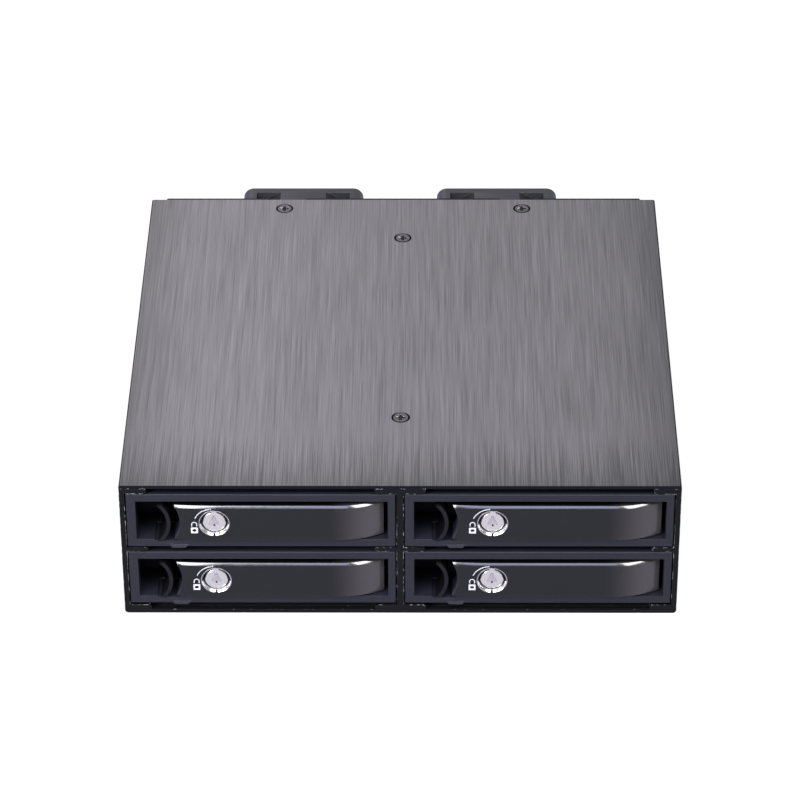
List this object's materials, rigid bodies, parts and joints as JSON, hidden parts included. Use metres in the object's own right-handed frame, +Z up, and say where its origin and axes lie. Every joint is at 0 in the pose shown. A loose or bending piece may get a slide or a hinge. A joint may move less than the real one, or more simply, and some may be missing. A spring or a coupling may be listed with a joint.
{
  "type": "hot swap drive cage",
  "caption": "Drive cage for a half-height front bay: hot swap trays with key-locked levers, side latches, a backplane and rear fans in a flat metal case.",
  "frame": {"origin": "middle of the bottom of the box around the whole cage", "axes": "+Z up, +Y from the tray fronts to the fans, +X to the right when the tray fronts are seen from the front"},
  "size_m": [0.146, 0.156, 0.0413],
  "materials": {
    "case_steel": "satin",
    "brushed_cover": "brushed",
    "cover_screw": "satin",
    "front_steel": "satin",
    "rear_steel": "satin",
    "plated_screw": "satin",
    "circuit_board": "satin",
    "plated_brass": "satin",
    "black_plastic": "matte",
    "fan_plastic": "satin",
    "pan_steel": "satin",
    "bezel_plastic": "satin",
    "lever_plastic": "gloss",
    "latch_plastic": "satin",
    "chrome_ring": "polished",
    "lock_barrel": "satin",
    "spring_steel": "satin",
    "light_guide": "clear"
  },
  "bodies": {
    "cage": {"chassis_base": "case_steel", "top_cover": "brushed_cover", "cover_screws": "cover_screw", "front_plate": "front_steel", "center_divider": "front_steel", "left_guide_rails": "case_steel", "right_guide_rails": "case_steel", "rear_panel": "rear_steel", "backplane_board": "circuit_board", "board_standoffs": "plated_brass", "drive_sockets": "black_plastic", "data_ports": "black_plastic", "power_ports": "black_plastic", "left_fan_frame": "fan_plastic", "right_fan_frame": "fan_plastic"},
    "left_fan_rotor": {"left_fan_rotor": "fan_plastic"},
    "right_fan_rotor": {"right_fan_rotor": "fan_plastic"},
    "lower_left_tray": {"lower_left_pan": "pan_steel", "lower_left_bezel": "bezel_plastic", "lower_left_hinge_pin": "plated_screw", "lower_left_latch_spring": "spring_steel", "lower_left_light_guide": "light_guide"},
    "lower_left_lever": {"lower_left_lever": "lever_plastic", "lower_left_lock_housing": "chrome_ring"},
    "lower_left_lock": {"lower_left_lock_barrel": "lock_barrel"},
    "lower_left_latch": {"lower_left_latch": "latch_plastic"},
    "lower_right_tray": {"lower_right_pan": "pan_steel", "lower_right_bezel": "bezel_plastic", "lower_right_hinge_pin": "plated_screw", "lower_right_latch_spring": "spring_steel", "lower_right_light_guide": "light_guide"},
    "lower_right_lever": {"lower_right_lever": "lever_plastic", "lower_right_lock_housing": "chrome_ring"},
    "lower_right_lock": {"lower_right_lock_barrel": "lock_barrel"},
    "lower_right_latch": {"lower_right_latch": "latch_plastic"},
    "upper_left_tray": {"upper_left_pan": "pan_steel", "upper_left_bezel": "bezel_plastic", "upper_left_hinge_pin": "plated_screw", "upper_left_latch_spring": "spring_steel", "upper_left_light_guide": "light_guide"},
    "upper_left_lever": {"upper_left_lever": "lever_plastic", "upper_left_lock_housing": "chrome_ring"},
    "upper_left_lock": {"upper_left_lock_barrel": "lock_barrel"},
    "upper_left_latch": {"upper_left_latch": "latch_plastic"},
    "upper_right_tray": {"upper_right_pan": "pan_steel", "upper_right_bezel": "bezel_plastic", "upper_right_hinge_pin": "plated_screw", "upper_right_latch_spring": "spring_steel", "upper_right_light_guide": "light_guide"},
    "upper_right_lever": {"upper_right_lever": "lever_plastic", "upper_right_lock_housing": "chrome_ring"},
    "upper_right_lock": {"upper_right_lock_barrel": "lock_barrel"},
    "upper_right_latch": {"upper_right_latch": "latch_plastic"}
  },
  "joints": [
    {"name": "left_fan_spin", "type": "hinge", "parent": "cage", "child": "left_fan_rotor", "pos_m": [-0.0293, 0.07497, 0.02065], "axis": [0, 1, 0], "continuous": true},
    {"name": "right_fan_spin", "type": "hinge", "parent": "cage", "child": "right_fan_rotor", "pos_m": [0.0273, 0.07497, 0.02065], "axis": [0, 1, 0], "continuous": true},
    {"name": "lower_left_tray_slide", "type": "slide", "parent": "cage", "child": "lower_left_tray", "axis": [0, -1, 0], "range_m": [0, 0.125]},
    {"name": "lower_left_lever_hinge", "type": "hinge", "parent": "lower_left_tray", "child": "lower_left_lever", "pos_m": [-0.0093, -0.07162, 0.01165], "axis": [0, 0, 1], "range_deg": [0, 70]},
    {"name": "lower_left_lock_turn", "type": "hinge", "parent": "lower_left_lever", "child": "lower_left_lock", "pos_m": [-0.0484, -0.07662, 0.01165], "axis": [0, -1, 0], "range_deg": [0, 90]},
    {"name": "lower_left_latch_slide", "type": "slide", "parent": "lower_left_tray", "child": "lower_left_latch", "axis": [1, 0, 0], "range_m": [0, 0.0013], "stiffness_N_per_m": 400, "springref_m": -0.0005, "deforming": ["lower_left_latch_spring"]},
    {"name": "lower_right_tray_slide", "type": "slide", "parent": "cage", "child": "lower_right_tray", "axis": [0, -1, 0], "range_m": [0, 0.125]},
    {"name": "lower_right_lever_hinge", "type": "hinge", "parent": "lower_right_tray", "child": "lower_right_lever", "pos_m": [0.0632, -0.07162, 0.01165], "axis": [0, 0, 1], "range_deg": [0, 70]},
    {"name": "lower_right_lock_turn", "type": "hinge", "parent": "lower_right_lever", "child": "lower_right_lock", "pos_m": [0.0241, -0.07662, 0.01165], "axis": [0, -1, 0], "range_deg": [0, 90]},
    {"name": "lower_right_latch_slide", "type": "slide", "parent": "lower_right_tray", "child": "lower_right_latch", "axis": [1, 0, 0], "range_m": [0, 0.0013], "stiffness_N_per_m": 400, "springref_m": -0.0005, "deforming": ["lower_right_latch_spring"]},
    {"name": "upper_left_tray_slide", "type": "slide", "parent": "cage", "child": "upper_left_tray", "axis": [0, -1, 0], "range_m": [0, 0.125]},
    {"name": "upper_left_lever_hinge", "type": "hinge", "parent": "upper_left_tray", "child": "upper_left_lever", "pos_m": [-0.0093, -0.07162, 0.03015], "axis": [0, 0, 1], "range_deg": [0, 70]},
    {"name": "upper_left_lock_turn", "type": "hinge", "parent": "upper_left_lever", "child": "upper_left_lock", "pos_m": [-0.0484, -0.07662, 0.03015], "axis": [0, -1, 0], "range_deg": [0, 90]},
    {"name": "upper_left_latch_slide", "type": "slide", "parent": "upper_left_tray", "child": "upper_left_latch", "axis": [1, 0, 0], "range_m": [0, 0.0013], "stiffness_N_per_m": 400, "springref_m": -0.0005, "deforming": ["upper_left_latch_spring"]},
    {"name": "upper_right_tray_slide", "type": "slide", "parent": "cage", "child": "upper_right_tray", "axis": [0, -1, 0], "range_m": [0, 0.125]},
    {"name": "upper_right_lever_hinge", "type": "hinge", "parent": "upper_right_tray", "child": "upper_right_lever", "pos_m": [0.0632, -0.07162, 0.03015], "axis": [0, 0, 1], "range_deg": [0, 70]},
    {"name": "upper_right_lock_turn", "type": "hinge", "parent": "upper_right_lever", "child": "upper_right_lock", "pos_m": [0.0241, -0.07662, 0.03015], "axis": [0, -1, 0], "range_deg": [0, 90]},
    {"name": "upper_right_latch_slide", "type": "slide", "parent": "upper_right_tray", "child": "upper_right_latch", "axis": [1, 0, 0], "range_m": [0, 0.0013], "stiffness_N_per_m": 400, "springref_m": -0.0005, "deforming": ["upper_right_latch_spring"]}
  ]
}
